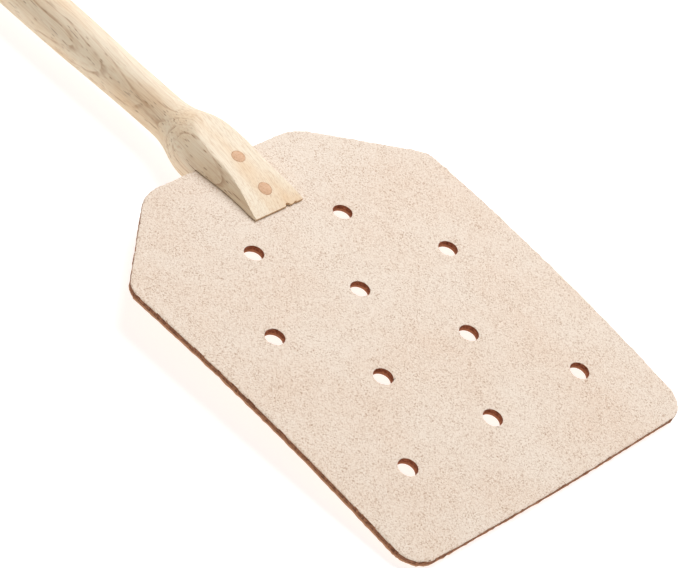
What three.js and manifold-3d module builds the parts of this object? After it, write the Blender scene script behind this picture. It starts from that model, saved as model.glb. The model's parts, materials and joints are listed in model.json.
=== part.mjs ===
// A hand fly swatter. A turned beech handle ends in a bulb that is cut to a wedge by two flats and
// sawn open along its middle. A blade of thick leather, punched with holes, is pushed into that
// slot, and two beech dowels driven through both jaws and the leather hold it.
//
// Millimetres. +X runs along the handle to the blade's free edge, +Y is across the blade and +Z is
// up, with the leather's suede side on top. The origin is on the surface that the swatter lies on,
// under the middle of its box. The sub-parts are made with x = 0 at the tip of the jaws and z = 0
// on the handle's axis, and the whole group is then moved to that origin.
import * as THREE from "three";
import { mergeVertices } from "three/addons/utils/BufferGeometryUtils.js";
import Module from "manifold-3d";

const wasm = await Module();
wasm.setup();

// Room left between two pieces that touch.
const FIT_GAP = 0.3;

// Handle: distances run back from the jaws' tip, and each station's radius is a turning point of
// the turned outline.
const HANDLE_LENGTH = 332.3;
const JAW_TIP_RADIUS = 9.2;
const HEAD_WAIST = { back: 10, radius: 8.75 };
const BULB = { back: 27, radius: 9.6 };
const NECK = { back: 46, radius: 6.2 };
const SHAFT = { back: 100, radius: 6.9 };
const GRIP = { back: 290, radius: 9.6 };
const BUTT_DOME = { length: 10, radius: 8.6 };

// Wedge flats on the head: wood left above the leather at the tip, and the slightly crowned
// profile, which leaves the tip at one slope, eases to another and then runs straight on.
const JAW_TIP_WOOD = 0.5;
const FLAT_CROWN_RADIUS = 92;
const FLAT_TIP_SLOPE = THREE.MathUtils.degToRad(20);
const FLAT_BACK_SLOPE = THREE.MathUtils.degToRad(7.4);

// Leather blade.
const LEATHER_THICKNESS = 2.2;
const BLADE_REACH = 107.7; // from the jaws' tip to the free edge
const TONGUE_DEPTH = 23.4; // from the jaws' tip back to the edge inside the slot
const SHOULDER_WIDTH = 115; // widest, beside the jaws' tip
const EDGE_WIDTH = 110; // at the free edge
const CHAMFER_ALONG = 26;
const CHAMFER_ACROSS = 29;
const CORNER_RADIUS = 8;
const ARCH_RADIUS = 690; // the free part bows downwards to its end
const FLEX_LINE = 3; // how far past the jaws' tip the leather starts to bend
const FLEX_LIMIT = THREE.MathUtils.degToRad(30);

// Punched holes: rows of two and three by turns, each hole half a column from its neighbours.
const HOLE_DIAMETER = 5.4;
const HOLE_ROWS = [2, 3, 2, 3];
const FIRST_ROW = 8.1; // ahead of the jaws' tip
const ROW_STEP = 25;
const COLUMN_STEP = 34;
// How far the hand that held the punch strayed from that pattern, ahead and across, row by row.
const PUNCH_DRIFT = [
  [0.65, -1.0],
  [0.65, -0.85],
  [1.3, -0.95],
  [-0.35, -1.1],
  [0.45, -0.75],
  [0.45, -1.1],
  [0.8, -1.8],
  [0.4, 0.3],
  [-0.1, -0.4],
  [0.25, 0.75],
];

// Dowels through jaws and leather.
const DOWEL_DIAMETER = 4;
const FRONT_DOWEL_BACK = 6.6; // behind the jaws' tip
const REAR_DOWEL_MARGIN = 5.3; // ahead of the leather's back edge

// Worked out from the values above.
const SLOT_HALF = LEATHER_THICKNESS / 2 + FIT_GAP;
const SLOT_DEPTH = TONGUE_DEPTH + 2 * FIT_GAP;
const DOWEL_STATIONS = [-FRONT_DOWEL_BACK, REAR_DOWEL_MARGIN - TONGUE_DEPTH];
const AXIS_HEIGHT = Math.max(BULB.radius, GRIP.radius);
const MIDDLE_X = (BLADE_REACH - HANDLE_LENGTH) / 2;

// How finely round shapes are divided.
const TURNED_SIDES = 40;
const HOLE_SIDES = 24;
const ARC_STEPS = 8;
const ARCH_STEPS = 16;
const CROWN_STEPS = 6;

// How far cutters run past what they cut: sideways or upwards, and ahead of the jaws' tip.
const CLEAR = 2 * Math.max(SHOULDER_WIDTH, EDGE_WIDTH);
const PAST_TIP = 5;

// ---- Booleans ----

// A closed geometry as a solid that can be cut and joined.
function solid(geometry) {
  geometry.deleteAttribute("normal");
  geometry.deleteAttribute("uv");
  const merged = mergeVertices(geometry, 1e-4);
  const index = merged.index.array;
  const triangles = [];
  for (let i = 0; i < index.length; i += 3) {
    const [a, b, c] = index.slice(i, i + 3);
    if (a !== b && b !== c && c !== a) triangles.push(a, b, c);
  }
  return new wasm.Manifold(
    new wasm.Mesh({
      numProp: 3,
      vertProperties: merged.attributes.position.array,
      triVerts: new Uint32Array(triangles),
    }),
  );
}

// A finished solid as a named mesh.
function part(name, material, body) {
  const { numProp, vertProperties, triVerts } = body.getMesh();
  const geometry = new THREE.BufferGeometry();
  const positions = new Float32Array((vertProperties.length / numProp) * 3);
  for (let i = 0; i < positions.length / 3; i++)
    positions.set(vertProperties.subarray(i * numProp, i * numProp + 3), i * 3);
  geometry.setAttribute("position", new THREE.BufferAttribute(positions, 3));
  geometry.setIndex(new THREE.BufferAttribute(triVerts, 1));
  geometry.computeVertexNormals();
  const mesh = new THREE.Mesh(geometry, material);
  mesh.name = name;
  return mesh;
}

// ---- Shared shapes ----

// An outline drawn in x and z, as a solid that runs right across the part.
function acrossPart(shape) {
  const geometry = new THREE.ExtrudeGeometry(shape, {
    depth: CLEAR,
    bevelEnabled: false,
    curveSegments: ARCH_STEPS,
  });
  geometry.translate(0, 0, -CLEAR / 2);
  geometry.rotateX(Math.PI / 2);
  return solid(geometry);
}

function polygon(...points) {
  return new THREE.Shape(points.map(([x, y]) => new THREE.Vector2(x, y)));
}

// A round bar standing on z, long enough to pass through the whole head.
function upright(diameter, x) {
  const length = 4 * BULB.radius;
  const geometry = new THREE.CylinderGeometry(diameter / 2, diameter / 2, length, HOLE_SIDES);
  geometry.rotateX(Math.PI / 2);
  geometry.translate(x, 0, 0);
  return solid(geometry);
}

// What lies outside the two wedge flats of the head, above and below.
function outsideFlats() {
  const tip = SLOT_HALF + JAW_TIP_WOOD;
  const top = 3 * BULB.radius;
  const crown = [];
  for (let step = 0; step <= CROWN_STEPS; step++) {
    const slope = THREE.MathUtils.lerp(FLAT_TIP_SLOPE, FLAT_BACK_SLOPE, step / CROWN_STEPS);
    const back = FLAT_CROWN_RADIUS * (Math.sin(FLAT_TIP_SLOPE) - Math.sin(slope));
    const rise = FLAT_CROWN_RADIUS * (Math.cos(slope) - Math.cos(FLAT_TIP_SLOPE));
    crown.push([-back, tip + rise]);
  }
  const [crownX, crownZ] = crown.at(-1);
  const behind = NECK.back;
  const above = [
    [PAST_TIP, tip],
    [PAST_TIP, top],
    [-behind, top],
    [-behind, crownZ + (crownX + behind) * Math.tan(FLAT_BACK_SLOPE)],
    ...crown.reverse(),
  ];
  const below = above.map(([x, z]) => [x, -z]).reverse();
  return acrossPart(polygon(...above)).add(acrossPart(polygon(...below)));
}

// ---- Handle ----

// The turned outline, from the jaws' tip to the butt, as radius against distance back. Every
// stretch leaves one station and reaches the next along the axis, as a gouge does.
function turnedOutline() {
  const butt = { back: HANDLE_LENGTH - BUTT_DOME.length, radius: BUTT_DOME.radius };
  const stations = [HEAD_WAIST, BULB, NECK, SHAFT, GRIP, butt];
  const path = new THREE.Path();
  path.moveTo(0, 0);
  path.lineTo(JAW_TIP_RADIUS, 0);
  let last = { back: 0, radius: JAW_TIP_RADIUS };
  for (const next of stations) {
    const middle = (last.back + next.back) / 2;
    path.bezierCurveTo(last.radius, middle, next.radius, middle, next.radius, next.back);
    last = next;
  }
  path.absellipse(0, last.back, last.radius, BUTT_DOME.length, 0, Math.PI / 2, false);
  return path.getPoints(ARC_STEPS);
}

function handle() {
  const turned = new THREE.LatheGeometry(turnedOutline(), TURNED_SIDES);
  turned.rotateZ(Math.PI / 2);
  const slot = polygon(
    [-SLOT_DEPTH, -SLOT_HALF],
    [PAST_TIP, -SLOT_HALF],
    [PAST_TIP, SLOT_HALF],
    [-SLOT_DEPTH, SLOT_HALF],
  );
  let body = solid(turned).subtract(outsideFlats()).subtract(acrossPart(slot));
  for (const x of DOWEL_STATIONS)
    body = body.subtract(upright(DOWEL_DIAMETER + 2 * FIT_GAP, x));
  return body;
}

// A dowel, cut off flush with both flats.
function dowel(x) {
  return upright(DOWEL_DIAMETER, x).subtract(outsideFlats());
}

// ---- Leather ----

// A closed outline through the corners given, each rounded to the same radius.
function roundedOutline(corners, radius) {
  const shape = new THREE.Shape();
  corners.forEach((corner, i) => {
    const before = corners.at(i - 1).clone().sub(corner).normalize();
    const after = corners[(i + 1) % corners.length].clone().sub(corner).normalize();
    const half = Math.acos(before.dot(after)) / 2;
    const setback = radius / Math.tan(half);
    const start = before.clone().multiplyScalar(setback).add(corner);
    const centre = before.clone().add(after).setLength(radius / Math.sin(half)).add(corner);
    const end = after.clone().multiplyScalar(setback).add(corner);
    const from = Math.atan2(start.y - centre.y, start.x - centre.x);
    const to = Math.atan2(end.y - centre.y, end.x - centre.x);
    shape.absarc(centre.x, centre.y, radius, from, to, false);
  });
  return shape;
}

// The whole cut-out of leather seen from above, as a tall prism.
function leatherOutline() {
  const side = SHOULDER_WIDTH / 2;
  const shoulder = CHAMFER_ALONG - TONGUE_DEPTH;
  const corners = [
    [BLADE_REACH, -EDGE_WIDTH / 2],
    [BLADE_REACH, EDGE_WIDTH / 2],
    [shoulder, side],
    [-TONGUE_DEPTH, side - CHAMFER_ACROSS],
    [-TONGUE_DEPTH, CHAMFER_ACROSS - side],
    [shoulder, -side],
  ].map(([x, y]) => new THREE.Vector2(x, y));
  const geometry = new THREE.ExtrudeGeometry(roundedOutline(corners, CORNER_RADIUS), {
    depth: CLEAR,
    bevelEnabled: false,
    curveSegments: ARC_STEPS,
  });
  geometry.translate(0, 0, -CLEAR / 2);
  return solid(geometry);
}

// The flat stretch that the jaws hold, up to the line where the leather starts to bend.
function leatherRoot() {
  const half = LEATHER_THICKNESS / 2;
  const back = -TONGUE_DEPTH - CORNER_RADIUS;
  const front = FLEX_LINE - FIT_GAP / 2;
  const sheet = polygon([back, -half], [front, -half], [front, half], [back, half]);
  let body = leatherOutline().intersect(acrossPart(sheet));
  for (const x of DOWEL_STATIONS)
    body = body.subtract(upright(DOWEL_DIAMETER + 2 * FIT_GAP, x));
  return body;
}

// A place on the arched mid-surface: its height and how far it leans.
function onArch(x) {
  const lean = Math.asin((x - FLEX_LINE) / ARCH_RADIUS);
  return { lean, height: ARCH_RADIUS * (Math.cos(lean) - 1) };
}

// The arched sheet from the bend line on. Its end at the line is cut to a ridge, so that it can
// turn to either limit without meeting the flat stretch.
function archedSheet() {
  const half = LEATHER_THICKNESS / 2;
  const reach = Math.asin((BLADE_REACH + CORNER_RADIUS - FLEX_LINE) / ARCH_RADIUS);
  const up = Math.PI / 2;
  const sheet = new THREE.Shape();
  sheet.absarc(FLEX_LINE, -ARCH_RADIUS, ARCH_RADIUS + half, up, up - reach, true);
  sheet.absarc(FLEX_LINE, -ARCH_RADIUS, ARCH_RADIUS - half, up - reach, up, false);
  const ridge = FLEX_LINE + FIT_GAP / 2;
  const behind = ridge - 2 * LEATHER_THICKNESS;
  const slant = LEATHER_THICKNESS * Math.tan(FLEX_LIMIT * 1.1);
  const waste = polygon(
    [behind, LEATHER_THICKNESS],
    [behind, -LEATHER_THICKNESS],
    [ridge + slant, -LEATHER_THICKNESS],
    [ridge, 0],
    [ridge + slant, LEATHER_THICKNESS],
  );
  return acrossPart(sheet).subtract(acrossPart(waste));
}

// One punched hole, square to the leather where it stands.
function punch(x, y) {
  const radius = HOLE_DIAMETER / 2;
  const geometry = new THREE.CylinderGeometry(radius, radius, 5 * LEATHER_THICKNESS, HOLE_SIDES);
  const { lean, height } = onArch(x);
  geometry.rotateX(Math.PI / 2);
  geometry.rotateY(lean);
  geometry.translate(x, y, height);
  return solid(geometry);
}

function leatherBlade() {
  let body = leatherOutline().intersect(archedSheet());
  let punched = 0;
  HOLE_ROWS.forEach((count, row) => {
    for (let i = 0; i < count; i++) {
      const [ahead, across] = PUNCH_DRIFT[punched++];
      const x = FIRST_ROW + row * ROW_STEP + ahead;
      const y = (i - (count - 1) / 2) * COLUMN_STEP + across;
      body = body.subtract(punch(x, y));
    }
  });
  return body;
}

// ---- Assembly ----

const beech = new THREE.MeshStandardMaterial({ color: 0xeed3ac, roughness: 0.6 });
const dowelWood = new THREE.MeshStandardMaterial({ color: 0xd9b18a, roughness: 0.65 });
const leather = new THREE.MeshStandardMaterial({ color: 0xe9d3be, roughness: 0.9 });

const swatter = new THREE.Group();
swatter.add(
  part("beech_handle", beech, handle()),
  part("front_dowel", dowelWood, dowel(DOWEL_STATIONS[0])),
  part("rear_dowel", dowelWood, dowel(DOWEL_STATIONS[1])),
  part("leather_root", leather, leatherRoot()),
  part("leather_blade", leather, leatherBlade()),
);
swatter.position.set(-MIDDLE_X, 0, AXIS_HEIGHT);

export default swatter;
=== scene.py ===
"""A hand fly swatter with a turned beech handle and a punched leather blade.

Metres, in the part's own frame: +X runs along the handle to the blade's free edge, +Z is up.
Sizes are named in millimetres and turned to metres with MM where they are used.
"""

import json
import math

import bpy
from mathutils import Matrix, Vector

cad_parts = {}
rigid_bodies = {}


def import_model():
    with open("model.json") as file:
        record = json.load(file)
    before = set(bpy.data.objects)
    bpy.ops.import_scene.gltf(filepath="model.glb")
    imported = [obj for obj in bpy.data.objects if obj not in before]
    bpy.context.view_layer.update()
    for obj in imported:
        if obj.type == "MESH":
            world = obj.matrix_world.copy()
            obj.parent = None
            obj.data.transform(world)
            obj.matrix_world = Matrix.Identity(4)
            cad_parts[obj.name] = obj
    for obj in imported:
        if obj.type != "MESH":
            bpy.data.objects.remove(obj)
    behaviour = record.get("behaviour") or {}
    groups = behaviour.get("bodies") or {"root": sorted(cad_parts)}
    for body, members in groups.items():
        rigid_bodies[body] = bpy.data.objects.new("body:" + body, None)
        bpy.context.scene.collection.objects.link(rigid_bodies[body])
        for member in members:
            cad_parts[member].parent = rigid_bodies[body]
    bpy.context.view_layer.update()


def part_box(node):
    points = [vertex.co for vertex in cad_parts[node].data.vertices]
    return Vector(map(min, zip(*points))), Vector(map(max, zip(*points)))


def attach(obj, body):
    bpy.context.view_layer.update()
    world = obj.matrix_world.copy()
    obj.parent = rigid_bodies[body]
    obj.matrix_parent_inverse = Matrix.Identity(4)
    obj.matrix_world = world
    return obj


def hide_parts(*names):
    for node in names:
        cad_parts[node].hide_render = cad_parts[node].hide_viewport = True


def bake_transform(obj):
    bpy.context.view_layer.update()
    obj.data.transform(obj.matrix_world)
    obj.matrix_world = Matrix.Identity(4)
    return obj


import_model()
MM = 0.001


# ---- Camera ----
# A long lens looks down along the blade from beside its free edge, turned a little in the hand.

handle_low, handle_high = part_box("beech_handle")
jaw_tip_x = handle_high.x
axis_z = (handle_low.z + handle_high.z) / 2

VIEW_AZIMUTH = math.radians(31.8)
VIEW_ELEVATION = math.radians(39.6)
VIEW_ROLL = math.radians(19.8)
VIEW_DISTANCE_MM = 787
LENS_MM = 159
NEAREST_SEEN_MM = 10
LOOK_AHEAD_OF_JAWS_MM = 28.4
LOOK_ASIDE_MM = -4.5

looked_at = Vector((jaw_tip_x + LOOK_AHEAD_OF_JAWS_MM * MM, LOOK_ASIDE_MM * MM, axis_z))
camera_data = bpy.data.cameras.new("camera")
camera_data.lens = LENS_MM
camera_data.clip_start = NEAREST_SEEN_MM * MM
camera = bpy.data.objects.new("camera", camera_data)
bpy.context.collection.objects.link(camera)
turn = (
    Matrix.Rotation(VIEW_AZIMUTH, 4, "Z")
    @ Matrix.Rotation(math.pi / 2 - VIEW_ELEVATION, 4, "X")
    @ Matrix.Rotation(VIEW_ROLL, 4, "Z")
)
camera.matrix_world = (
    Matrix.Translation(looked_at) @ turn @ Matrix.Translation((0, 0, VIEW_DISTANCE_MM * MM))
)
bpy.context.scene.camera = camera


# ---- Beech handle ----
# One piece of pale, unfinished beech, turned between centres: a long grip, a slim neck and a bulb.
# Two slightly crowned flats are sanded on the bulb, and a saw cut along its middle opens it into
# two jaws that close on the leather. The thin tip chipped a little when it was cut.

HANDLE_SIDES = 96
STEPS_PER_STRETCH = 14
HEAD_LENGTH_MM = 46
BULB_RADIUS_MM = 9.6
HANDLE_CREASE = math.radians(32)

# The two flats: arcs seen from the side, steepest at the tip.
FLAT_CROWN_RADIUS_MM = 92
FLAT_TIP_SLOPE = math.radians(20)
FLAT_BACK_SLOPE = math.radians(7.4)
CROWN_CUTS = 12
CUT_SNAP_MM = 0.0001

# Sanding: each rub starts so many millimetres back from the jaws' tip and takes so many strokes.
HEAD_GRID_MM = 0.7
SLIVER_MM = 0.09
SHARP_TO_SANDPAPER = math.radians(13)
SANDING_RUBS = ((3, 1), (12, 2), (20, 6))
RUB_STRENGTH = 0.5

# The saw cut and the bores. The cutters reach well past the wood.
JAW_TIP_WOOD_MM = 0.5
JAW_PLAY_MM = 0.3
SLOT_PLAY_MM = 0.28
SLOT_END_PLAY_MM = 0.05
SAW_OVERRUN_MM = 5
BORE_PLAY_MM = 0.02
BORE_SIDES = 48
CUTTER_REACH_MM = 40

# Chips out of the tip's lips: which lip, how far across it lies, how wide and how deep it is.
CHIPS_MM = ((1, 3.4, 1.7, 0.85), (1, 5.6, 4.6, 0.1), (-1, -2.0, 2.4, 0.3), (-1, 4.6, 1.8, 0.2))
CHIP_AHEAD_MM = 0.35
CHIP_UP_MM = 1.9
CHIP_HALF_HEIGHT_MM = 1.1
CHIP_ROLL_PER_MM = 0.2
CHIP_TWIST_PER_MM = 0.08

# Sizes of the grain's patterns, and its colours.
WANDER_LONG_MM = 42
WANDER_ACROSS_MM = 14
WANDER_REACH_MM = 3.4
GRAIN_TILT = (0, math.radians(-1.5), math.radians(3))
RING_STEP_MM = 1.1
HEART_ASIDE_MM = 34
HEART_BELOW_MM = 9
BREAK_LONG_MM = 5
BREAK_ACROSS_MM = 1.2
PORE_LONG_MM = 14
PORE_ACROSS_MM = 0.28
PORE_DEPTH_MM = 0.08
DRIFT_LONG_MM = 34
DRIFT_ACROSS_MM = 9
FLECK_CELLS = ((5, 0.75, 0.66), (13, 0.85, 0.6))
FLECK_DEPTH_MM = 0.1
PALE_BEECH = "#f0e5cf"
WARM_BEECH = "#e9d0ae"
RING_BROWN = "#a67c55"
PORE_BROWN = "#c39b72"
FLECK_BROWN = "#8f6846"
END_GRAIN_BROWN = "#cda985"

root_low, root_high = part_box("leather_root")
leather_half = (root_high.z - root_low.z) / 2
handle_length = handle_high.x - handle_low.x
flat_height_at_tip = leather_half + (JAW_PLAY_MM + JAW_TIP_WOOD_MM) * MM

# The outline's high and low points: distance back from the jaws' tip, and radius. The turn at the
# butt stops just short of a point.
BUTT_DOME_MM = 10
BUTT_RADIUS_MM = 8.6
BUTT_TURN = math.radians(88)
STATIONS_MM = [
    (0, 9.2),
    (10, 8.75),
    (27, BULB_RADIUS_MM),
    (HEAD_LENGTH_MM, 6.2),
    (100, 6.9),
    (290, 9.6),
    (handle_length / MM - BUTT_DOME_MM, BUTT_RADIUS_MM),
]


def turned_rings():
    """Distance back and radius of every ring, in metres, from the jaws' tip to the butt. Between
    two stations the outline is a cubic curve that leaves both of them level."""
    rings = []
    for (back, radius), (next_back, next_radius) in zip(STATIONS_MM, STATIONS_MM[1:]):
        for step in range(1, STEPS_PER_STRETCH + 1):
            u = step / STEPS_PER_STRETCH
            along = 1.5 * u * (1 - u) + u**3
            across = u * u * (3 - 2 * u)
            rings.append((back + along * (next_back - back), radius + across * (next_radius - radius)))
    last_back, last_radius = STATIONS_MM[-1]
    for step in range(1, STEPS_PER_STRETCH + 1):
        turn = BUTT_TURN * step / STEPS_PER_STRETCH
        rings.append((last_back + BUTT_DOME_MM * math.sin(turn), last_radius * math.cos(turn)))
    return [(back * MM, radius * MM) for back, radius in rings]


def select_faces(piece, wanted):
    """In edit mode, selects the faces whose centre and normal pass a test, and nothing else."""
    bpy.ops.mesh.select_mode(type="FACE")
    bpy.ops.mesh.select_all(action="DESELECT")
    bpy.ops.object.mode_set(mode="OBJECT")
    for polygon in piece.data.polygons:
        polygon.select = wanted(polygon.center, polygon.normal)
    bpy.ops.object.mode_set(mode="EDIT")


def cut_to_flats(piece, proud_mm=0):
    """Takes away what lies outside the two crowned flats, one shallow facet after another."""
    radius = (FLAT_CROWN_RADIUS_MM + proud_mm) * MM
    bpy.ops.object.select_all(action="DESELECT")
    piece.select_set(True)
    bpy.context.view_layer.objects.active = piece
    bpy.ops.object.mode_set(mode="EDIT")
    for cut in range(CROWN_CUTS + 1):
        slope = FLAT_TIP_SLOPE + (FLAT_BACK_SLOPE - FLAT_TIP_SLOPE) * cut / CROWN_CUTS
        back = FLAT_CROWN_RADIUS_MM * MM * math.sin(FLAT_TIP_SLOPE) - radius * math.sin(slope)
        rise = radius * math.cos(slope) - FLAT_CROWN_RADIUS_MM * MM * math.cos(FLAT_TIP_SLOPE)
        for side in (1, -1):
            bpy.ops.mesh.select_all(action="SELECT")
            bpy.ops.mesh.bisect(
                plane_co=(jaw_tip_x - back, 0, axis_z + side * (flat_height_at_tip + rise)),
                plane_no=(math.sin(slope), 0, side * math.cos(slope)),
                use_fill=True,
                clear_outer=True,
                threshold=CUT_SNAP_MM * MM,
            )
    bpy.ops.object.mode_set(mode="OBJECT")


def cut_away(piece, cutter):
    """Cuts one closed mesh out of another and throws the cutter away."""
    modifier = piece.modifiers.new("cut", "BOOLEAN")
    modifier.operation = "DIFFERENCE"
    modifier.solver = "EXACT"
    modifier.object = cutter
    bpy.ops.object.select_all(action="DESELECT")
    piece.select_set(True)
    bpy.context.view_layer.objects.active = piece
    bpy.ops.object.modifier_apply(modifier=modifier.name)
    bpy.data.objects.remove(cutter)


def soften(piece, width_mm, sharper_than, segments=2):
    """Rounds every edge that is sharper than an angle, as fine sandpaper does."""
    modifier = piece.modifiers.new("soften", "BEVEL")
    modifier.width = width_mm * MM
    modifier.segments = segments
    modifier.limit_method = "ANGLE"
    modifier.angle_limit = sharper_than
    modifier.use_clamp_overlap = False
    bpy.ops.object.select_all(action="DESELECT")
    piece.select_set(True)
    bpy.context.view_layer.objects.active = piece
    bpy.ops.object.modifier_apply(modifier=modifier.name)


bpy.ops.object.select_all(action="DESELECT")
bpy.ops.mesh.primitive_circle_add(
    vertices=HANDLE_SIDES,
    radius=STATIONS_MM[0][1] * MM,
    fill_type="NGON",
    location=(jaw_tip_x, 0, axis_z),
    rotation=(0, math.pi / 2, 0),
)
handle = bpy.context.object
handle.name = "turned_handle"
bpy.ops.object.transform_apply(location=True, rotation=True, scale=True)
bpy.ops.object.mode_set(mode="EDIT")
bpy.ops.mesh.select_all(action="SELECT")
here, radius_here = 0, STATIONS_MM[0][1] * MM
for back, radius in turned_rings():
    bpy.ops.mesh.extrude_region_move(TRANSFORM_OT_translate={"value": (here - back, 0, 0)})
    grow = radius / radius_here
    bpy.ops.transform.resize(
        value=(1, grow, grow), center_override=(jaw_tip_x - back, 0, axis_z)
    )
    here, radius_here = back, radius
bpy.ops.mesh.select_all(action="SELECT")
bpy.ops.mesh.normals_make_consistent(inside=False)
bpy.ops.object.mode_set(mode="OBJECT")
cut_to_flats(handle)

# The head gets a fine grid of faces, and the flats' edges are sanded down on it, more at the back
# than near the tip, which stays crisp.
head_length = HEAD_LENGTH_MM * MM
bpy.ops.object.mode_set(mode="EDIT")
for direction, first, last in (
    ((1, 0, 0), jaw_tip_x - head_length, jaw_tip_x),
    ((0, 1, 0), -BULB_RADIUS_MM * MM, BULB_RADIUS_MM * MM),
):
    away = Vector(direction)
    steps = round((last - first) / (HEAD_GRID_MM * MM))
    for step in range(1, steps):
        select_faces(handle, lambda centre, normal: centre.x > jaw_tip_x - head_length)
        bpy.ops.mesh.bisect(
            plane_co=away * (first + (last - first) * step / steps),
            plane_no=away,
            threshold=CUT_SNAP_MM * MM,
        )
bpy.ops.mesh.select_all(action="SELECT")
bpy.ops.mesh.remove_doubles(threshold=SLIVER_MM * MM)
for from_back_mm, strokes in SANDING_RUBS:
    bpy.ops.mesh.select_mode(type="EDGE")
    bpy.ops.mesh.select_all(action="DESELECT")
    bpy.ops.mesh.edges_select_sharp(sharpness=SHARP_TO_SANDPAPER)
    bpy.ops.mesh.select_mode(type="VERT")
    bpy.ops.object.mode_set(mode="OBJECT")
    for element in (*handle.data.edges, *handle.data.polygons):
        element.select = False
    for vertex in handle.data.vertices:
        back_mm = (jaw_tip_x - vertex.co.x) / MM
        vertex.select = vertex.select and from_back_mm < back_mm < HEAD_LENGTH_MM
    bpy.ops.object.mode_set(mode="EDIT")
    bpy.ops.mesh.select_more()
    bpy.ops.mesh.vertices_smooth(factor=RUB_STRENGTH, repeat=strokes)
bpy.ops.object.mode_set(mode="OBJECT")

# The saw cut that takes the leather.
slot_back = root_low.x - SLOT_END_PLAY_MM * MM
slot_front = jaw_tip_x + SAW_OVERRUN_MM * MM
slot_height = 2 * (leather_half + SLOT_PLAY_MM * MM)
bpy.ops.mesh.primitive_cube_add(size=1, location=((slot_back + slot_front) / 2, 0, axis_z))
saw_cut = bpy.context.object
saw_cut.scale = (slot_front - slot_back, CUTTER_REACH_MM * MM, slot_height)
cut_away(handle, saw_cut)

# Where a chip broke away, a small faceted ball is cut out, turned by its place so that no two match.
for side, across, wide, deep in CHIPS_MM:
    bpy.ops.mesh.primitive_ico_sphere_add(
        subdivisions=2,
        radius=1,
        location=(jaw_tip_x + CHIP_AHEAD_MM * MM, across * MM, axis_z + side * CHIP_UP_MM * MM),
    )
    chip = bpy.context.object
    chip.scale = ((CHIP_AHEAD_MM + deep) * MM, wide / 2 * MM, CHIP_HALF_HEIGHT_MM * MM)
    chip.rotation_euler = (CHIP_ROLL_PER_MM * across, 0, CHIP_TWIST_PER_MM * across)
    cut_away(handle, chip)

# Bores for the dowels.
dowel_boxes = {name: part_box(name) for name in ("front_dowel", "rear_dowel")}
for low, high in dowel_boxes.values():
    bpy.ops.mesh.primitive_cylinder_add(
        vertices=BORE_SIDES,
        radius=(high.y - low.y) / 2 + BORE_PLAY_MM * MM,
        depth=CUTTER_REACH_MM * MM,
        location=((low.x + high.x) / 2, 0, axis_z),
    )
    cut_away(handle, bpy.context.object)

bpy.ops.object.select_all(action="DESELECT")
handle.select_set(True)
bpy.context.view_layer.objects.active = handle
bpy.ops.object.shade_smooth_by_angle(angle=HANDLE_CREASE)


def hex_colour(text):
    """An sRGB hex colour as the linear values that shaders take."""
    channels = [int(text[i : i + 2], 16) / 255 for i in (1, 3, 5)]
    linear = [c / 12.92 if c <= 0.04045 else ((c + 0.055) / 1.055) ** 2.4 for c in channels]
    return (*linear, 1)


def add_node(material, kind, settings=None, inputs=None):
    """Adds a shader node, sets its options, and sets or links its inputs."""
    made = material.node_tree.nodes.new(kind)
    for name, value in (settings or {}).items():
        setattr(made, name, value)
    for name, value in (inputs or {}).items():
        if isinstance(value, bpy.types.NodeSocket):
            material.node_tree.links.new(value, made.inputs[name])
        else:
            made.inputs[name].default_value = value
    return made


def new_material(name):
    """An empty material with a shader and an output joined up."""
    material = bpy.data.materials.new(name)
    material.use_nodes = True
    material.node_tree.nodes.clear()
    shader = add_node(material, "ShaderNodeBsdfPrincipled")
    add_node(material, "ShaderNodeOutputMaterial", inputs={"Surface": shader.outputs["BSDF"]})
    return material, shader


def along_grain(long_mm, across_mm):
    """How a pattern is scaled so that its marks are so long along the handle and so wide."""
    return (1 / (long_mm * MM), 1 / (across_mm * MM), 1 / (across_mm * MM))


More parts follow.
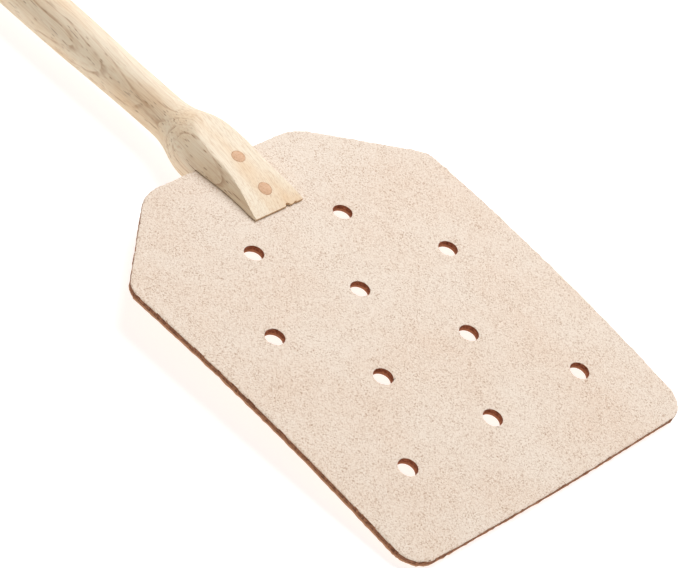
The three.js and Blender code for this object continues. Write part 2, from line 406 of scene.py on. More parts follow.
def turned_beech():
    """Unfinished European beech, turned and sanded: pale, warm and matt. Thin growth rings run out
    at the bulb as ovals, pores draw hair-fine lines along the grain, and the rays leave short dark
    dashes. End grain is thirstier and browner."""
    material, shader = new_material("turned_beech")
    coordinates = add_node(material, "ShaderNodeTexCoord")
    place = coordinates.outputs["Object"]

    # The grain lies a few degrees across the handle and wanders slowly.
    tilted = add_node(
        material,
        "ShaderNodeMapping",
        inputs={"Vector": place, "Rotation": GRAIN_TILT},
    )
    wander_place = add_node(
        material,
        "ShaderNodeMapping",
        inputs={
            "Vector": tilted.outputs["Vector"],
            "Scale": along_grain(WANDER_LONG_MM, WANDER_ACROSS_MM),
        },
    )
    wander = add_node(
        material,
        "ShaderNodeTexNoise",
        inputs={"Vector": wander_place.outputs["Vector"], "Scale": 1.0, "Detail": 2.0},
    )
    wood = add_node(
        material,
        "ShaderNodeVectorMath",
        {"operation": "MULTIPLY_ADD"},
        {
            0: wander.outputs["Color"],
            1: (0, WANDER_REACH_MM * MM, WANDER_REACH_MM * MM),
            2: tilted.outputs["Vector"],
        },
    ).outputs["Vector"]

    # Growth rings 1.1 mm apart, round the tree's heart, which lay outside the handle.
    from_heart = add_node(
        material,
        "ShaderNodeVectorMath",
        {"operation": "SUBTRACT"},
        {0: wood, 1: (0, HEART_ASIDE_MM * MM, axis_z - HEART_BELOW_MM * MM)},
    )
    across_heart = add_node(
        material,
        "ShaderNodeVectorMath",
        {"operation": "MULTIPLY"},
        {0: from_heart.outputs["Vector"], 1: (0, 1 / (RING_STEP_MM * MM), 1 / (RING_STEP_MM * MM))},
    )
    ring_count = add_node(
        material, "ShaderNodeVectorMath", {"operation": "LENGTH"}, {0: across_heart.outputs["Vector"]}
    )
    ring_phase = add_node(
        material, "ShaderNodeMath", {"operation": "FRACT"}, {0: ring_count.outputs["Value"]}
    )
    late_wood = add_node(
        material,
        "ShaderNodeMapRange",
        {"interpolation_type": "SMOOTHERSTEP"},
        {"Value": ring_phase.outputs[0], "From Min": 0.66, "From Max": 1.0},
    )

    # Each ring line shows for a few millimetres and fades again.
    breaks_place = add_node(
        material,
        "ShaderNodeMapping",
        inputs={"Vector": wood, "Scale": along_grain(BREAK_LONG_MM, BREAK_ACROSS_MM)},
    )
    breaks = add_node(
        material,
        "ShaderNodeTexNoise",
        inputs={"Vector": breaks_place.outputs["Vector"], "Scale": 1.0, "Detail": 2.0},
    )
    break_tone = add_node(
        material,
        "ShaderNodeMapRange",
        inputs={
            "Value": breaks.outputs["Fac"],
            "From Min": 0.42,
            "From Max": 0.6,
            "To Min": 0.08,
            "To Max": 0.55,
        },
    )
    ring_tone = add_node(
        material,
        "ShaderNodeMath",
        {"operation": "MULTIPLY"},
        {0: late_wood.outputs["Result"], 1: break_tone.outputs["Result"]},
    )

    # Pore lines 0.28 mm across and 14 mm long. Real ones are finer; these are as coarse as they
    # need to be to show.
    pores_place = add_node(
        material,
        "ShaderNodeMapping",
        inputs={"Vector": wood, "Scale": along_grain(PORE_LONG_MM, PORE_ACROSS_MM)},
    )
    pores = add_node(
        material,
        "ShaderNodeTexNoise",
        inputs={"Vector": pores_place.outputs["Vector"], "Scale": 1.0, "Detail": 3.0, "Roughness": 0.6},
    )
    pore_tone = add_node(
        material,
        "ShaderNodeMapRange",
        inputs={
            "Value": pores.outputs["Fac"],
            "From Min": 0.46,
            "From Max": 0.72,
            "To Min": 0.0,
            "To Max": 0.5,
        },
    )

    # The wood's tone drifts between pale and warm over some 30 mm.
    drift_place = add_node(
        material,
        "ShaderNodeMapping",
        inputs={"Vector": place, "Scale": along_grain(DRIFT_LONG_MM, DRIFT_ACROSS_MM)},
    )
    drift = add_node(
        material,
        "ShaderNodeTexNoise",
        inputs={"Vector": drift_place.outputs["Vector"], "Scale": 1.0, "Detail": 2.0},
    )
    drift_tone = add_node(
        material,
        "ShaderNodeMapRange",
        inputs={"Value": drift.outputs["Fac"], "From Min": 0.4, "From Max": 0.7},
    )

    # Ray flecks: one spindle in each cell, a third of it long and thick, so 1.5 mm by 0.2 mm, and
    # fewer, longer ones of 4 mm.
    fleck_tones = []
    for length_mm, thick_mm, darkest in FLECK_CELLS:
        fleck_place = add_node(
            material,
            "ShaderNodeMapping",
            inputs={"Vector": wood, "Scale": along_grain(length_mm, thick_mm)},
        )
        flecks = add_node(
            material,
            "ShaderNodeTexVoronoi",
            inputs={"Vector": fleck_place.outputs["Vector"], "Scale": 1.0, "Randomness": 1.0},
        )
        fleck_tones.append(
            add_node(
                material,
                "ShaderNodeMapRange",
                {"interpolation_type": "SMOOTHSTEP"},
                {
                    "Value": flecks.outputs["Distance"],
                    "From Min": 0.1,
                    "From Max": 0.2,
                    "To Min": darkest,
                    "To Max": 0.0,
                },
            )
        )
    fleck_tone = add_node(
        material,
        "ShaderNodeMath",
        {"operation": "MAXIMUM"},
        {0: fleck_tones[0].outputs["Result"], 1: fleck_tones[1].outputs["Result"]},
    )

    # Flecks and rings hardly show where the surface faces up or down, as the flats do.
    facing_up = add_node(
        material,
        "ShaderNodeVectorMath",
        {"operation": "DOT_PRODUCT"},
        {0: coordinates.outputs["Normal"], 1: (0, 0, 1)},
    )
    flat_or_not = add_node(
        material, "ShaderNodeMath", {"operation": "ABSOLUTE"}, {0: facing_up.outputs["Value"]}
    )
    flat_share = add_node(
        material,
        "ShaderNodeMapRange",
        inputs={
            "Value": flat_or_not.outputs[0],
            "From Min": 0.86,
            "From Max": 0.95,
            "To Min": 1.0,
            "To Max": 0.35,
        },
    )
    fleck_shown = add_node(
        material,
        "ShaderNodeMath",
        {"operation": "MULTIPLY"},
        {0: fleck_tone.outputs[0], 1: flat_share.outputs["Result"]},
    )
    ring_shown = add_node(
        material,
        "ShaderNodeMath",
        {"operation": "MULTIPLY"},
        {0: ring_tone.outputs[0], 1: flat_share.outputs["Result"]},
    )

    # End grain, where the surface faces along the handle.
    facing = add_node(
        material,
        "ShaderNodeVectorMath",
        {"operation": "DOT_PRODUCT"},
        {0: coordinates.outputs["Normal"], 1: (1, 0, 0)},
    )
    facing_either = add_node(
        material, "ShaderNodeMath", {"operation": "ABSOLUTE"}, {0: facing.outputs["Value"]}
    )
    end_grain = add_node(
        material,
        "ShaderNodeMapRange",
        {"interpolation_type": "SMOOTHSTEP"},
        {
            "Value": facing_either.outputs[0],
            "From Min": 0.55,
            "From Max": 0.95,
            "To Min": 0.0,
            "To Max": 0.85,
        },
    )

    base = add_node(
        material,
        "ShaderNodeMix",
        {"data_type": "RGBA"},
        {
            "Factor": drift_tone.outputs["Result"],
            "A": hex_colour(PALE_BEECH),
            "B": hex_colour(WARM_BEECH),
        },
    )
    ringed = add_node(
        material,
        "ShaderNodeMix",
        {"data_type": "RGBA"},
        {"Factor": ring_shown.outputs[0], "A": base.outputs["Result"], "B": hex_colour(RING_BROWN)},
    )
    lined = add_node(
        material,
        "ShaderNodeMix",
        {"data_type": "RGBA"},
        {
            "Factor": pore_tone.outputs["Result"],
            "A": ringed.outputs["Result"],
            "B": hex_colour(PORE_BROWN),
        },
    )
    flecked = add_node(
        material,
        "ShaderNodeMix",
        {"data_type": "RGBA"},
        {"Factor": fleck_shown.outputs[0], "A": lined.outputs["Result"], "B": hex_colour(FLECK_BROWN)},
    )
    ended = add_node(
        material,
        "ShaderNodeMix",
        {"data_type": "RGBA"},
        {
            "Factor": end_grain.outputs["Result"],
            "A": flecked.outputs["Result"],
            "B": hex_colour(END_GRAIN_BROWN),
        },
    )
    bump = add_node(
        material,
        "ShaderNodeBump",
        {"invert": True},
        {"Strength": 0.35, "Distance": PORE_DEPTH_MM * MM, "Height": pores.outputs["Fac"]},
    )
    dents = add_node(
        material,
        "ShaderNodeBump",
        {"invert": True},
        {
            "Strength": 0.5,
            "Distance": FLECK_DEPTH_MM * MM,
            "Height": fleck_shown.outputs[0],
            "Normal": bump.outputs["Normal"],
        },
    )
    material.node_tree.links.new(ended.outputs["Result"], shader.inputs["Base Color"])
    material.node_tree.links.new(dents.outputs["Normal"], shader.inputs["Normal"])
    shader.inputs["Roughness"].default_value = 0.62
    shader.inputs["IOR"].default_value = 1.5
    shader.inputs["Specular IOR Level"].default_value = 0.35
    return material


handle.data.materials.append(turned_beech())
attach(handle, "handle")
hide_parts("beech_handle")


# ---- Dowels ----
# Two 4 mm beech dowels, driven down through both jaws and the leather and sanded off flush.
# What shows is their end grain, browner than the handle, with a faint ragged rim.

DOWEL_PROUD_MM = 0.01
DOWEL_BLANK_MM = 30
DOWEL_EDGE_MM = 0.03
DOWEL_CREASE = math.radians(40)
MOTTLE_MM = 0.7
DOWEL_PORE_GAP_MM = 0.45
DOWEL_ROUGHNESS_MM = 0.08
RIM_RAGGED_MM = 0.9
RIM_FROM_MM = 2.1
RIM_TO_MM = 2.6
DOWEL_LIGHT = "#e3c3a5"
DOWEL_DARK = "#cfa27e"
DOWEL_PORE = "#a77a56"
DOWEL_RIM = "#b88f6e"


def dowel_end_grain(name, centre_x):
    """Sanded beech end grain: thirsty, so browner than the long grain, matt, pitted with pores
    and a little darker at its edge."""
    material, shader = new_material(name)
    place = add_node(material, "ShaderNodeTexCoord").outputs["Object"]
    centred = add_node(
        material, "ShaderNodeMapping", inputs={"Vector": place, "Location": (-centre_x, 0, 0)}
    )
    flat_place = add_node(
        material,
        "ShaderNodeVectorMath",
        {"operation": "MULTIPLY"},
        {0: centred.outputs["Vector"], 1: (1, 1, 0)},
    )
    from_middle = add_node(
        material, "ShaderNodeVectorMath", {"operation": "LENGTH"}, {0: flat_place.outputs["Vector"]}
    )
    mottle = add_node(
        material,
        "ShaderNodeTexNoise",
        inputs={"Vector": centred.outputs["Vector"], "Scale": 1 / (MOTTLE_MM * MM), "Detail": 3.0},
    )
    ragged = add_node(
        material,
        "ShaderNodeMath",
        {"operation": "MULTIPLY_ADD"},
        {0: mottle.outputs["Fac"], 1: RIM_RAGGED_MM * MM, 2: from_middle.outputs["Value"]},
    )
    rim = add_node(
        material,
        "ShaderNodeMapRange",
        {"interpolation_type": "SMOOTHSTEP"},
        {"Value": ragged.outputs[0], "From Min": RIM_FROM_MM * MM, "From Max": RIM_TO_MM * MM},
    )
    pores = add_node(
        material,
        "ShaderNodeTexVoronoi",
        inputs={"Vector": centred.outputs["Vector"], "Scale": 1 / (DOWEL_PORE_GAP_MM * MM)},
    )
    pore_mask = add_node(
        material,
        "ShaderNodeMapRange",
        inputs={
            "Value": pores.outputs["Distance"],
            "From Min": 0.15,
            "From Max": 0.4,
            "To Min": 0.45,
            "To Max": 0.0,
        },
    )
    body = add_node(
        material,
        "ShaderNodeMix",
        {"data_type": "RGBA"},
        {"Factor": mottle.outputs["Fac"], "A": hex_colour(DOWEL_LIGHT), "B": hex_colour(DOWEL_DARK)},
    )
    pored = add_node(
        material,
        "ShaderNodeMix",
        {"data_type": "RGBA"},
        {
            "Factor": pore_mask.outputs["Result"],
            "A": body.outputs["Result"],
            "B": hex_colour(DOWEL_PORE),
        },
    )
    rimmed = add_node(
        material,
        "ShaderNodeMix",
        {"data_type": "RGBA"},
        {"Factor": rim.outputs["Result"], "A": pored.outputs["Result"], "B": hex_colour(DOWEL_RIM)},
    )
    bump = add_node(
        material,
        "ShaderNodeBump",
        inputs={
            "Strength": 0.5,
            "Distance": DOWEL_ROUGHNESS_MM * MM,
            "Height": mottle.outputs["Fac"],
        },
    )
    material.node_tree.links.new(rimmed.outputs["Result"], shader.inputs["Base Color"])
    material.node_tree.links.new(bump.outputs["Normal"], shader.inputs["Normal"])
    shader.inputs["Roughness"].default_value = 0.75
    shader.inputs["IOR"].default_value = 1.5
    shader.inputs["Specular IOR Level"].default_value = 0.3
    return material


for name, (low, high) in dowel_boxes.items():
    centre_x = (low.x + high.x) / 2
    bpy.ops.object.select_all(action="DESELECT")
    bpy.ops.mesh.primitive_cylinder_add(
        vertices=BORE_SIDES,
        radius=(high.y - low.y) / 2,
        depth=DOWEL_BLANK_MM * MM,
        location=(centre_x, 0, axis_z),
    )
    pin = bpy.context.object
    pin.name = name + "_pin"
    bpy.ops.object.transform_apply(location=True, rotation=True, scale=True)
    cut_to_flats(pin, DOWEL_PROUD_MM)
    soften(pin, DOWEL_EDGE_MM, sharper_than=math.radians(50))
    bpy.ops.object.shade_smooth_by_angle(angle=DOWEL_CREASE)
    pin.data.materials.append(dowel_end_grain(name + "_end_grain", centre_x))
    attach(pin, "handle")
    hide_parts(name)


# ---- Leather blade ----
# One piece of vegetable-tanned leather, 2.2 mm thick and stiff, cut out with a knife and punched
# by hand with ten holes. Its suede side is on top and its smooth grain side below. The jaws hold
# it flat, and from there it arches gently down to its free edge.

# The outline: widest at the shoulders, cut off slantwise to the root.
CORNER_RADIUS_MM = 8
ROOT_CORNER_RADIUS_MM = 14
CHAMFER_ALONG_MM = 26
CHAMFER_ACROSS_MM = 29
SHOULDER_WIDTH_MM = 115
EDGE_WIDTH_MM = 110
EDGE_BOW_MM = 0.5
EDGE_BOW_RADIUS_MM = 1400
HIDE_LENGTH_MM = 600
HIDE_WIDTH_MM = 200
DEGREES_A_CUT = 8
FEWEST_CUTS = 4

# The sheet's shape and its edges.
ARCH_RADIUS_MM = 690
GRID_STEP_MM = 1.25
CUT_EDGE_MM = 0.35
EDGE_FUZZ_MM = 0.28
FUZZ_STEP_MM = 1.1
LEATHER_CREASE = math.radians(35)

# The ten holes, in four rows, and how far each was punched off its place: ahead and across.
HOLE_RADIUS_MM = 2.7
HOLE_TAPER_MM = 0.15
HOLE_RIM_MM = 0.18
HOLE_SIDES = 44
PUNCH_LENGTH_MM = 8
NEAR_HOLE_MM = 0.3
HOLE_ROWS = (2, 3, 2, 3)
FIRST_ROW_MM = 8.1
ROW_STEP_MM = 25
COLUMN_STEP_MM = 34
PUNCH_DRIFT_MM = [
    (0.65, -1.0),
    (0.65, -0.85),
    (1.3, -0.95),
    (-0.35, -1.1),
    (0.45, -0.75),
    (0.45, -1.1),
    (0.8, -1.8),
    (0.4, 0.3),
    (-0.1, -0.4),
    (0.25, 0.75),
]

# How upright a face's normal is on the sheet's two sides, and at the most on its cut edge.
SIDE_UPRIGHT = 0.6
EDGE_UPRIGHT = 0.95

# Sizes of the leather's patterns, and its colours.
NAP_STEP_MM = 0.45
NAP_DEPTH_MM = 0.25
CLUMP_MM = 4
PATCH_MM = 20
SUEDE_LIGHT = "#f1e5d6"
SUEDE_WARM = "#eddcca"
SUEDE_TIPS = "#f6ece0"
SUEDE_PARTINGS = "#a98466"
GRAIN_PORE_MM = 0.8
GRAIN_PORE_DEPTH_MM = 0.06
GRAIN_CLOUD_MM = 18
GRAIN_LIGHT = "#e8c39b"
GRAIN_DARK = "#dbb088"
GRAIN_PORES = "#b3825c"
FIBRE_STEP_MM = 0.7
FIBRE_DEPTH_MM = 0.3

blade_low, blade_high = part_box("leather_blade")
flex_x = (root_high.x + blade_low.x) / 2
leather_back = root_low.x
leather_front = blade_high.x
shoulder_half = SHOULDER_WIDTH_MM * MM / 2
shoulder_x = leather_back + CHAMFER_ALONG_MM * MM
root_half = shoulder_half - CHAMFER_ACROSS_MM * MM
edge_half = EDGE_WIDTH_MM * MM / 2

# A piece of hide, big enough to cut the blade from.
bpy.ops.object.select_all(action="DESELECT")
bpy.ops.mesh.primitive_plane_add(size=1, location=(0, 0, axis_z - leather_half))
leather = bpy.context.object
leather.name = "leather_blade_cut"
leather.scale = (HIDE_LENGTH_MM * MM, HIDE_WIDTH_MM * MM, 1)
bpy.ops.object.transform_apply(location=True, rotation=True, scale=True)

# The outline's corners and how round each is; the free edge bows out a little in the middle.
outline = [
    (leather_front - EDGE_BOW_MM * MM / 2, -edge_half, CORNER_RADIUS_MM),
    (leather_front + EDGE_BOW_MM * MM, 0, EDGE_BOW_RADIUS_MM),
    (leather_front - EDGE_BOW_MM * MM / 2, edge_half, CORNER_RADIUS_MM),
    (shoulder_x, shoulder_half, CORNER_RADIUS_MM),
    (leather_back, root_half, ROOT_CORNER_RADIUS_MM),
    (leather_back, -root_half, ROOT_CORNER_RADIUS_MM),
    (shoulder_x, -shoulder_half, CORNER_RADIUS_MM),
]

# Which way each side of the outline faces, and then the cuts, which turn round every corner from
# one side's facing to the next one's.
facings = []
for (x, y, _), (next_x, next_y, _) in zip(outline, outline[1:] + outline[:1]):
    facings.append(math.atan2(x - next_x, next_y - y) % math.tau)
facings[0] -= math.tau
bpy.ops.object.mode_set(mode="EDIT")
for i, (x, y, radius) in enumerate(outline):
    facing, next_facing = facings[i - 1] - (math.tau if i == 0 else 0), facings[i]
    while next_facing < facing:
        next_facing += math.tau
    reach = radius * MM / (1 + math.cos(next_facing - facing))
    centre_x = x - reach * (math.cos(facing) + math.cos(next_facing))
    centre_y = y - reach * (math.sin(facing) + math.sin(next_facing))
    cuts = max(FEWEST_CUTS, round(math.degrees(next_facing - facing) / DEGREES_A_CUT))
    for cut in range(cuts + 1):
        angle = facing + (next_facing - facing) * cut / cuts
        away = Vector((math.cos(angle), math.sin(angle), 0))
        bpy.ops.mesh.select_all(action="SELECT")
        bpy.ops.mesh.bisect(
            plane_co=Vector((centre_x, centre_y, 0)) + away * radius * MM,
            plane_no=away,
            clear_outer=True,
            threshold=CUT_SNAP_MM * MM,
        )
bpy.ops.mesh.select_mode(type="FACE")
bpy.ops.mesh.select_all(action="SELECT")
bpy.ops.mesh.extrude_region_move(TRANSFORM_OT_translate={"value": (0, 0, 2 * leather_half)})
bpy.ops.mesh.select_all(action="SELECT")
bpy.ops.mesh.normals_make_consistent(inside=False)
bpy.ops.object.mode_set(mode="OBJECT")
soften(leather, CUT_EDGE_MM, sharper_than=math.radians(60), segments=3)

# Cuts across the sheet both ways, and along its edge, give it faces enough to bend and to fray.
bpy.ops.object.mode_set(mode="EDIT")
for direction, first, last, step_mm in (
    ((1, 0, 0), leather_back, leather_front + EDGE_BOW_MM * MM, GRID_STEP_MM),
    ((0, 1, 0), -shoulder_half, shoulder_half, GRID_STEP_MM),
    ((0, 0, 1), axis_z - leather_half, axis_z + leather_half, leather_half / MM / 2),
):
    away = Vector(direction)
    steps = round((last - first) / (step_mm * MM))
    for step in range(1, steps):
        bpy.ops.mesh.select_all(action="SELECT")
        bpy.ops.mesh.bisect(
            plane_co=away * (first + (last - first) * step / steps),
            plane_no=away,
            threshold=CUT_SNAP_MM * MM,
        )
bpy.ops.mesh.select_all(action="SELECT")
bpy.ops.mesh.remove_doubles(threshold=SLIVER_MM * MM)
bpy.ops.mesh.normals_make_consistent(inside=False)
bpy.ops.object.mode_set(mode="OBJECT")

# The knife leaves the cut edge a little ragged.
cut_edge = leather.vertex_groups.new(name="cut_edge")
on_edge = set()
for polygon in leather.data.polygons:
    if abs(polygon.normal.z) < EDGE_UPRIGHT:
        on_edge.update(polygon.vertices)
cut_edge.add(list(on_edge), 1.0, "REPLACE")
fuzz = bpy.data.textures.new("knife_fuzz", "CLOUDS")
fuzz.noise_scale = FUZZ_STEP_MM * MM
fuzz.noise_depth = 2
ragged = leather.modifiers.new("ragged", "DISPLACE")
ragged.texture = fuzz
ragged.vertex_group = "cut_edge"
ragged.strength = 2 * EDGE_FUZZ_MM * MM
ragged.mid_level = 0.5
bpy.ops.object.modifier_apply(modifier=ragged.name)

# The punched holes, which widen a little upwards, and the two that the dowels go through.
hole_centres = []
for row, count in enumerate(HOLE_ROWS):
    for i in range(count):
        ahead, across = PUNCH_DRIFT_MM[len(hole_centres)]
        hole_x = jaw_tip_x + (FIRST_ROW_MM + row * ROW_STEP_MM + ahead) * MM
        hole_y = ((i - (count - 1) / 2) * COLUMN_STEP_MM + across) * MM
        hole_centres.append((hole_x, hole_y))
bpy.ops.object.select_all(action="DESELECT")
punches = []
for x, y in hole_centres:
    bpy.ops.mesh.primitive_cone_add(
        vertices=HOLE_SIDES,
        radius1=(HOLE_RADIUS_MM - HOLE_TAPER_MM) * MM,
        radius2=(HOLE_RADIUS_MM + HOLE_TAPER_MM) * MM,
        depth=PUNCH_LENGTH_MM * MM,
        location=(x, y, axis_z),
    )
    punches.append(bpy.context.object)
for low, high in dowel_boxes.values():
    bpy.ops.mesh.primitive_cylinder_add(
        vertices=HOLE_SIDES,
        radius=(high.y - low.y) / 2 + BORE_PLAY_MM * MM,
        depth=PUNCH_LENGTH_MM * MM,
        location=((low.x + high.x) / 2, 0, axis_z),
    )
    punches.append(bpy.context.object)
for punch in punches:
    punch.select_set(True)
bpy.context.view_layer.objects.active = punches[0]
bpy.ops.object.join()
cut_away(leather, bpy.context.object)
soften(leather, HOLE_RIM_MM, sharper_than=math.radians(65), segments=2)

# Which side of the sheet each face belongs to, and how deep in the sheet each point lies.
SUEDE, GRAIN, KNIFE_CUT, PUNCHED = range(4)
for polygon in leather.data.polygons:
    middle = (polygon.center.x, polygon.center.y)
    reach = (HOLE_RADIUS_MM + NEAR_HOLE_MM) * MM
    if polygon.normal.z > SIDE_UPRIGHT:
        polygon.material_index = SUEDE
    elif polygon.normal.z < -SIDE_UPRIGHT:
        polygon.material_index = GRAIN
    elif any(math.dist(middle, centre) < reach for centre in hole_centres):
        polygon.material_index = PUNCHED
    else:
        polygon.material_index = KNIFE_CUT
depth = leather.data.attributes.new("depth_in_sheet", "FLOAT", "POINT")
for vertex in leather.data.vertices:
    depth.data[vertex.index].value = (vertex.co.z - axis_z) / leather_half

# Past the bend line every point is carried onto the arch.
for vertex in leather.data.vertices:
    ahead = vertex.co.x - flex_x
    if ahead > 0:
        lean = math.asin(ahead / (ARCH_RADIUS_MM * MM))
        lift = vertex.co.z - axis_z
        vertex.co.x = flex_x + (ARCH_RADIUS_MM * MM + lift) * math.sin(lean)
        vertex.co.z = axis_z + (ARCH_RADIUS_MM * MM + lift) * math.cos(lean) - ARCH_RADIUS_MM * MM
bpy.ops.object.shade_smooth_by_angle(angle=LEATHER_CREASE)


def suede_side():
    """The flesh side of vegetable-tanned leather, left rough: a pale short nap, speckled where its
    fibres part over the browner leather below, and quite matt."""
    material, shader = new_material("suede_side")
    place = add_node(material, "ShaderNodeTexCoord").outputs["Object"]

    # Tufts 0.45 mm apart, and loose clumps of them some 4 mm wide. Single fibres are far finer;
    # the tufts are as coarse as they need to be to show.
    nap = add_node(
        material,
        "ShaderNodeTexNoise",
        inputs={
            "Vector": place,
            "Scale": 1 / (NAP_STEP_MM * MM),
            "Detail": 3.0,
            "Roughness": 0.7,
            "Distortion": 0.8,
        },
    )
    clumps = add_node(
        material,
        "ShaderNodeTexNoise",
        inputs={"Vector": place, "Scale": 1 / (CLUMP_MM * MM), "Detail": 3.0},
    )
    parted = add_node(
        material,
        "ShaderNodeMapRange",
        inputs={
            "Value": nap.outputs["Fac"],
            "From Min": 0.5,
            "From Max": 0.66,
            "To Min": 0.0,
            "To Max": 0.9,
        },
    )
    clumped = add_node(
        material,
        "ShaderNodeMapRange",
        inputs={
            "Value": clumps.outputs["Fac"],
            "From Min": 0.3,
            "From Max": 0.7,
            "To Min": 0.45,
            "To Max": 1.0,
        },
    )
    parting = add_node(
        material,
        "ShaderNodeMath",
        {"operation": "MULTIPLY"},
        {0: parted.outputs["Result"], 1: clumped.outputs["Result"]},
    )
    tips = add_node(
        material,
        "ShaderNodeMapRange",
        inputs={
            "Value": nap.outputs["Fac"],
            "From Min": 0.28,
            "From Max": 0.5,
            "To Min": 1.0,
            "To Max": 0.0,
        },
    )
    patches = add_node(
        material,
        "ShaderNodeTexNoise",
        inputs={"Vector": place, "Scale": 1 / (PATCH_MM * MM), "Detail": 3.0},
    )
    patch_tone = add_node(
        material,
        "ShaderNodeMapRange",
        inputs={"Value": patches.outputs["Fac"], "From Min": 0.35, "From Max": 0.7},
    )
    ground = add_node(
        material,
        "ShaderNodeMix",
        {"data_type": "RGBA"},
        {
            "Factor": patch_tone.outputs["Result"],
            "A": hex_colour(SUEDE_LIGHT),
            "B": hex_colour(SUEDE_WARM),
        },
    )
    tipped = add_node(
        material,
        "ShaderNodeMix",
        {"data_type": "RGBA"},
        {"Factor": tips.outputs["Result"], "A": ground.outputs["Result"], "B": hex_colour(SUEDE_TIPS)},
    )
    napped = add_node(
        material,
        "ShaderNodeMix",
        {"data_type": "RGBA"},
        {
            "Factor": parting.outputs[0],
            "A": tipped.outputs["Result"],
            "B": hex_colour(SUEDE_PARTINGS),
        },
    )
    bump = add_node(
        material,
        "ShaderNodeBump",
        {"invert": True},
        {"Strength": 0.9, "Distance": NAP_DEPTH_MM * MM, "Height": nap.outputs["Fac"]},
    )
    material.node_tree.links.new(napped.outputs["Result"], shader.inputs["Base Color"])
    material.node_tree.links.new(bump.outputs["Normal"], shader.inputs["Normal"])
    shader.inputs["Roughness"].default_value = 0.95
    shader.inputs["Specular IOR Level"].default_value = 0.1
    shader.inputs["Sheen Weight"].default_value = 0.1
    shader.inputs["Sheen Roughness"].default_value = 0.5
    return material


def grain_side():
    """The grain side of vegetable-tanned leather: smooth, warm tan, with faint pores and a soft satin
    shine."""
    material, shader = new_material("grain_side")
    place = add_node(material, "ShaderNodeTexCoord").outputs["Object"]
    pores = add_node(
        material, "ShaderNodeTexVoronoi", inputs={"Vector": place, "Scale": 1 / (GRAIN_PORE_MM * MM)}
    )
    cloud = add_node(
        material,
        "ShaderNodeTexNoise",
        inputs={"Vector": place, "Scale": 1 / (GRAIN_CLOUD_MM * MM), "Detail": 4.0},
    )
    tone = add_node(
        material,
        "ShaderNodeMix",
        {"data_type": "RGBA"},
        {"Factor": cloud.outputs["Fac"], "A": hex_colour(GRAIN_LIGHT), "B": hex_colour(GRAIN_DARK)},
    )
    pore_mask = add_node(
        material,
        "ShaderNodeMapRange",
        inputs={
            "Value": pores.outputs["Distance"],
            "From Min": 0.08,
            "From Max": 0.3,
            "To Min": 0.3,
            "To Max": 0.0,
        },
    )
    pored = add_node(
        material,
        "ShaderNodeMix",
        {"data_type": "RGBA"},
        {
            "Factor": pore_mask.outputs["Result"],
            "A": tone.outputs["Result"],
            "B": hex_colour(GRAIN_PORES),
        },
    )
    bump = add_node(
        material,
        "ShaderNodeBump",
        inputs={
            "Strength": 0.3,
            "Distance": GRAIN_PORE_DEPTH_MM * MM,
            "Height": pores.outputs["Distance"],
        },
    )
    material.node_tree.links.new(pored.outputs["Result"], shader.inputs["Base Color"])
    material.node_tree.links.new(bump.outputs["Normal"], shader.inputs["Normal"])
    shader.inputs["Roughness"].default_value = 0.5
    shader.inputs["Specular IOR Level"].default_value = 0.4
    return material


def cut_leather(name, light, dark, lip):
    """Leather cut through: packed brown fibres in thin layers, rough and matt, with the denser,
    paler grain layer as a thin lip along the lower side."""
    material, shader = new_material(name)
    place = add_node(material, "ShaderNodeTexCoord").outputs["Object"]
    in_sheet = add_node(material, "ShaderNodeAttribute", {"attribute_name": "depth_in_sheet"})
    fibres = add_node(
        material,
        "ShaderNodeTexNoise",
        inputs={
            "Vector": place,
            "Scale": 1 / (FIBRE_STEP_MM * MM),
            "Detail": 4.0,
            "Roughness": 0.7,
        },
    )
    fibre_tone = add_node(
        material,
        "ShaderNodeMapRange",
        inputs={"Value": fibres.outputs["Fac"], "From Min": 0.35, "From Max": 0.68},
    )
    tone = add_node(
        material,
        "ShaderNodeMix",
        {"data_type": "RGBA"},
        {"Factor": fibre_tone.outputs["Result"], "A": hex_colour(dark), "B": hex_colour(light)},
    )
    uneven = add_node(
        material,
        "ShaderNodeMath",
        {"operation": "MULTIPLY_ADD"},
        {0: fibres.outputs["Fac"], 1: 0.5, 2: in_sheet.outputs["Fac"]},
    )
    lip_mask = add_node(
        material,
        "ShaderNodeMapRange",
        {"interpolation_type": "SMOOTHSTEP"},
        {
            "Value": uneven.outputs[0],
            "From Min": -0.12,
            "From Max": 0.08,
            "To Min": 0.8,
            "To Max": 0.0,
        },
    )
    lipped = add_node(
        material,
        "ShaderNodeMix",
        {"data_type": "RGBA"},
        {"Factor": lip_mask.outputs["Result"], "A": tone.outputs["Result"], "B": hex_colour(lip)},
    )
    bump = add_node(
        material,
        "ShaderNodeBump",
        inputs={
            "Strength": 1.0,
            "Distance": FIBRE_DEPTH_MM * MM,
            "Height": fibres.outputs["Fac"],
        },
    )
    material.node_tree.links.new(lipped.outputs["Result"], shader.inputs["Base Color"])
    material.node_tree.links.new(bump.outputs["Normal"], shader.inputs["Normal"])
    shader.inputs["Roughness"].default_value = 0.85
    shader.inputs["Specular IOR Level"].default_value = 0.2
    return material


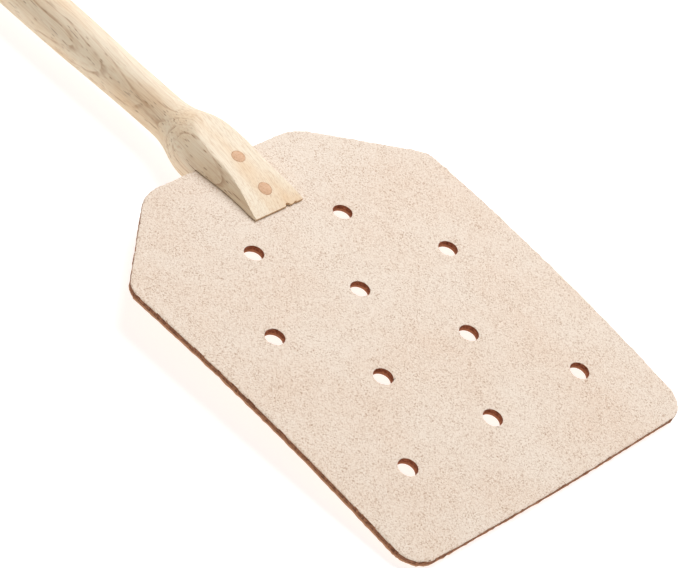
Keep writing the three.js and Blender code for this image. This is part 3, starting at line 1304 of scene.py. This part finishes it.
# In the order of SUEDE, GRAIN, KNIFE_CUT and PUNCHED. The last two take a light, a dark and a lip.
leather.data.materials.append(suede_side())
leather.data.materials.append(grain_side())
leather.data.materials.append(cut_leather("knife_cut_edge", "#b37f60", "#5f3a28", "#c99a78"))
# The punched walls' colours are painted brighter than the leather's own. This is painted light,
# standing in for the light that hardly reaches into the narrow holes.
leather.data.materials.append(cut_leather("punched_wall_painted_light", "#bd7a5a", "#6f3823", "#b47a58"))
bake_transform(leather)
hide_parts("leather_root", "leather_blade")


# ---- Floor ----
# A table of white opal acrylic to lie on, lit softly from below. Matt, so that it throws nothing
# back but a pale glow.

FLOOR_SIDE_M = 8
FLOOR_WHITE = "#c6c2ba"
GLOW_WHITE = "#f7faff"
GLOW_STRENGTH = 0.74

bpy.ops.object.select_all(action="DESELECT")
bpy.ops.mesh.primitive_plane_add(size=FLOOR_SIDE_M, location=(0, 0, 0))
floor = bpy.context.object
floor.name = "floor"
opal, opal_shader = new_material("opal_acrylic")
opal_shader.inputs["Base Color"].default_value = hex_colour(FLOOR_WHITE)
opal_shader.inputs["Roughness"].default_value = 0.8
opal_shader.inputs["Emission Color"].default_value = hex_colour(GLOW_WHITE)
opal_shader.inputs["Emission Strength"].default_value = GLOW_STRENGTH
floor.data.materials.append(opal)


# ---- Light ----
# One large soft box high up on the blade's far side, and a pale, warm room all round.

SOFT_BOX_PLACE_M = Vector((-0.1, 0.75, 1.25))
SOFT_BOX_AIM_M = Vector((0.1, 0, 0))
SOFT_BOX_SIDE_M = 1.0
SOFT_BOX_WATTS = 22.5
SOFT_BOX_WHITE = "#f4f8ff"
ROOM_WHITE = "#ffedda"
ROOM_STRENGTH = 0.44

soft_box = bpy.data.lights.new("key_light", "AREA")
soft_box.size = SOFT_BOX_SIDE_M
soft_box.energy = SOFT_BOX_WATTS
soft_box.color = hex_colour(SOFT_BOX_WHITE)[:3]
key_light = bpy.data.objects.new("key_light", soft_box)
bpy.context.collection.objects.link(key_light)
key_light.location = SOFT_BOX_PLACE_M
key_light.rotation_euler = (
    (SOFT_BOX_AIM_M - SOFT_BOX_PLACE_M).to_track_quat("-Z", "Y").to_euler()
)
world = bpy.data.worlds.new("pale_room")
world.use_nodes = True
background = world.node_tree.nodes["Background"]
background.inputs["Color"].default_value = hex_colour(ROOM_WHITE)
background.inputs["Strength"].default_value = ROOM_STRENGTH
bpy.context.scene.world = world
bpy.context.scene.view_settings.view_transform = "Standard"
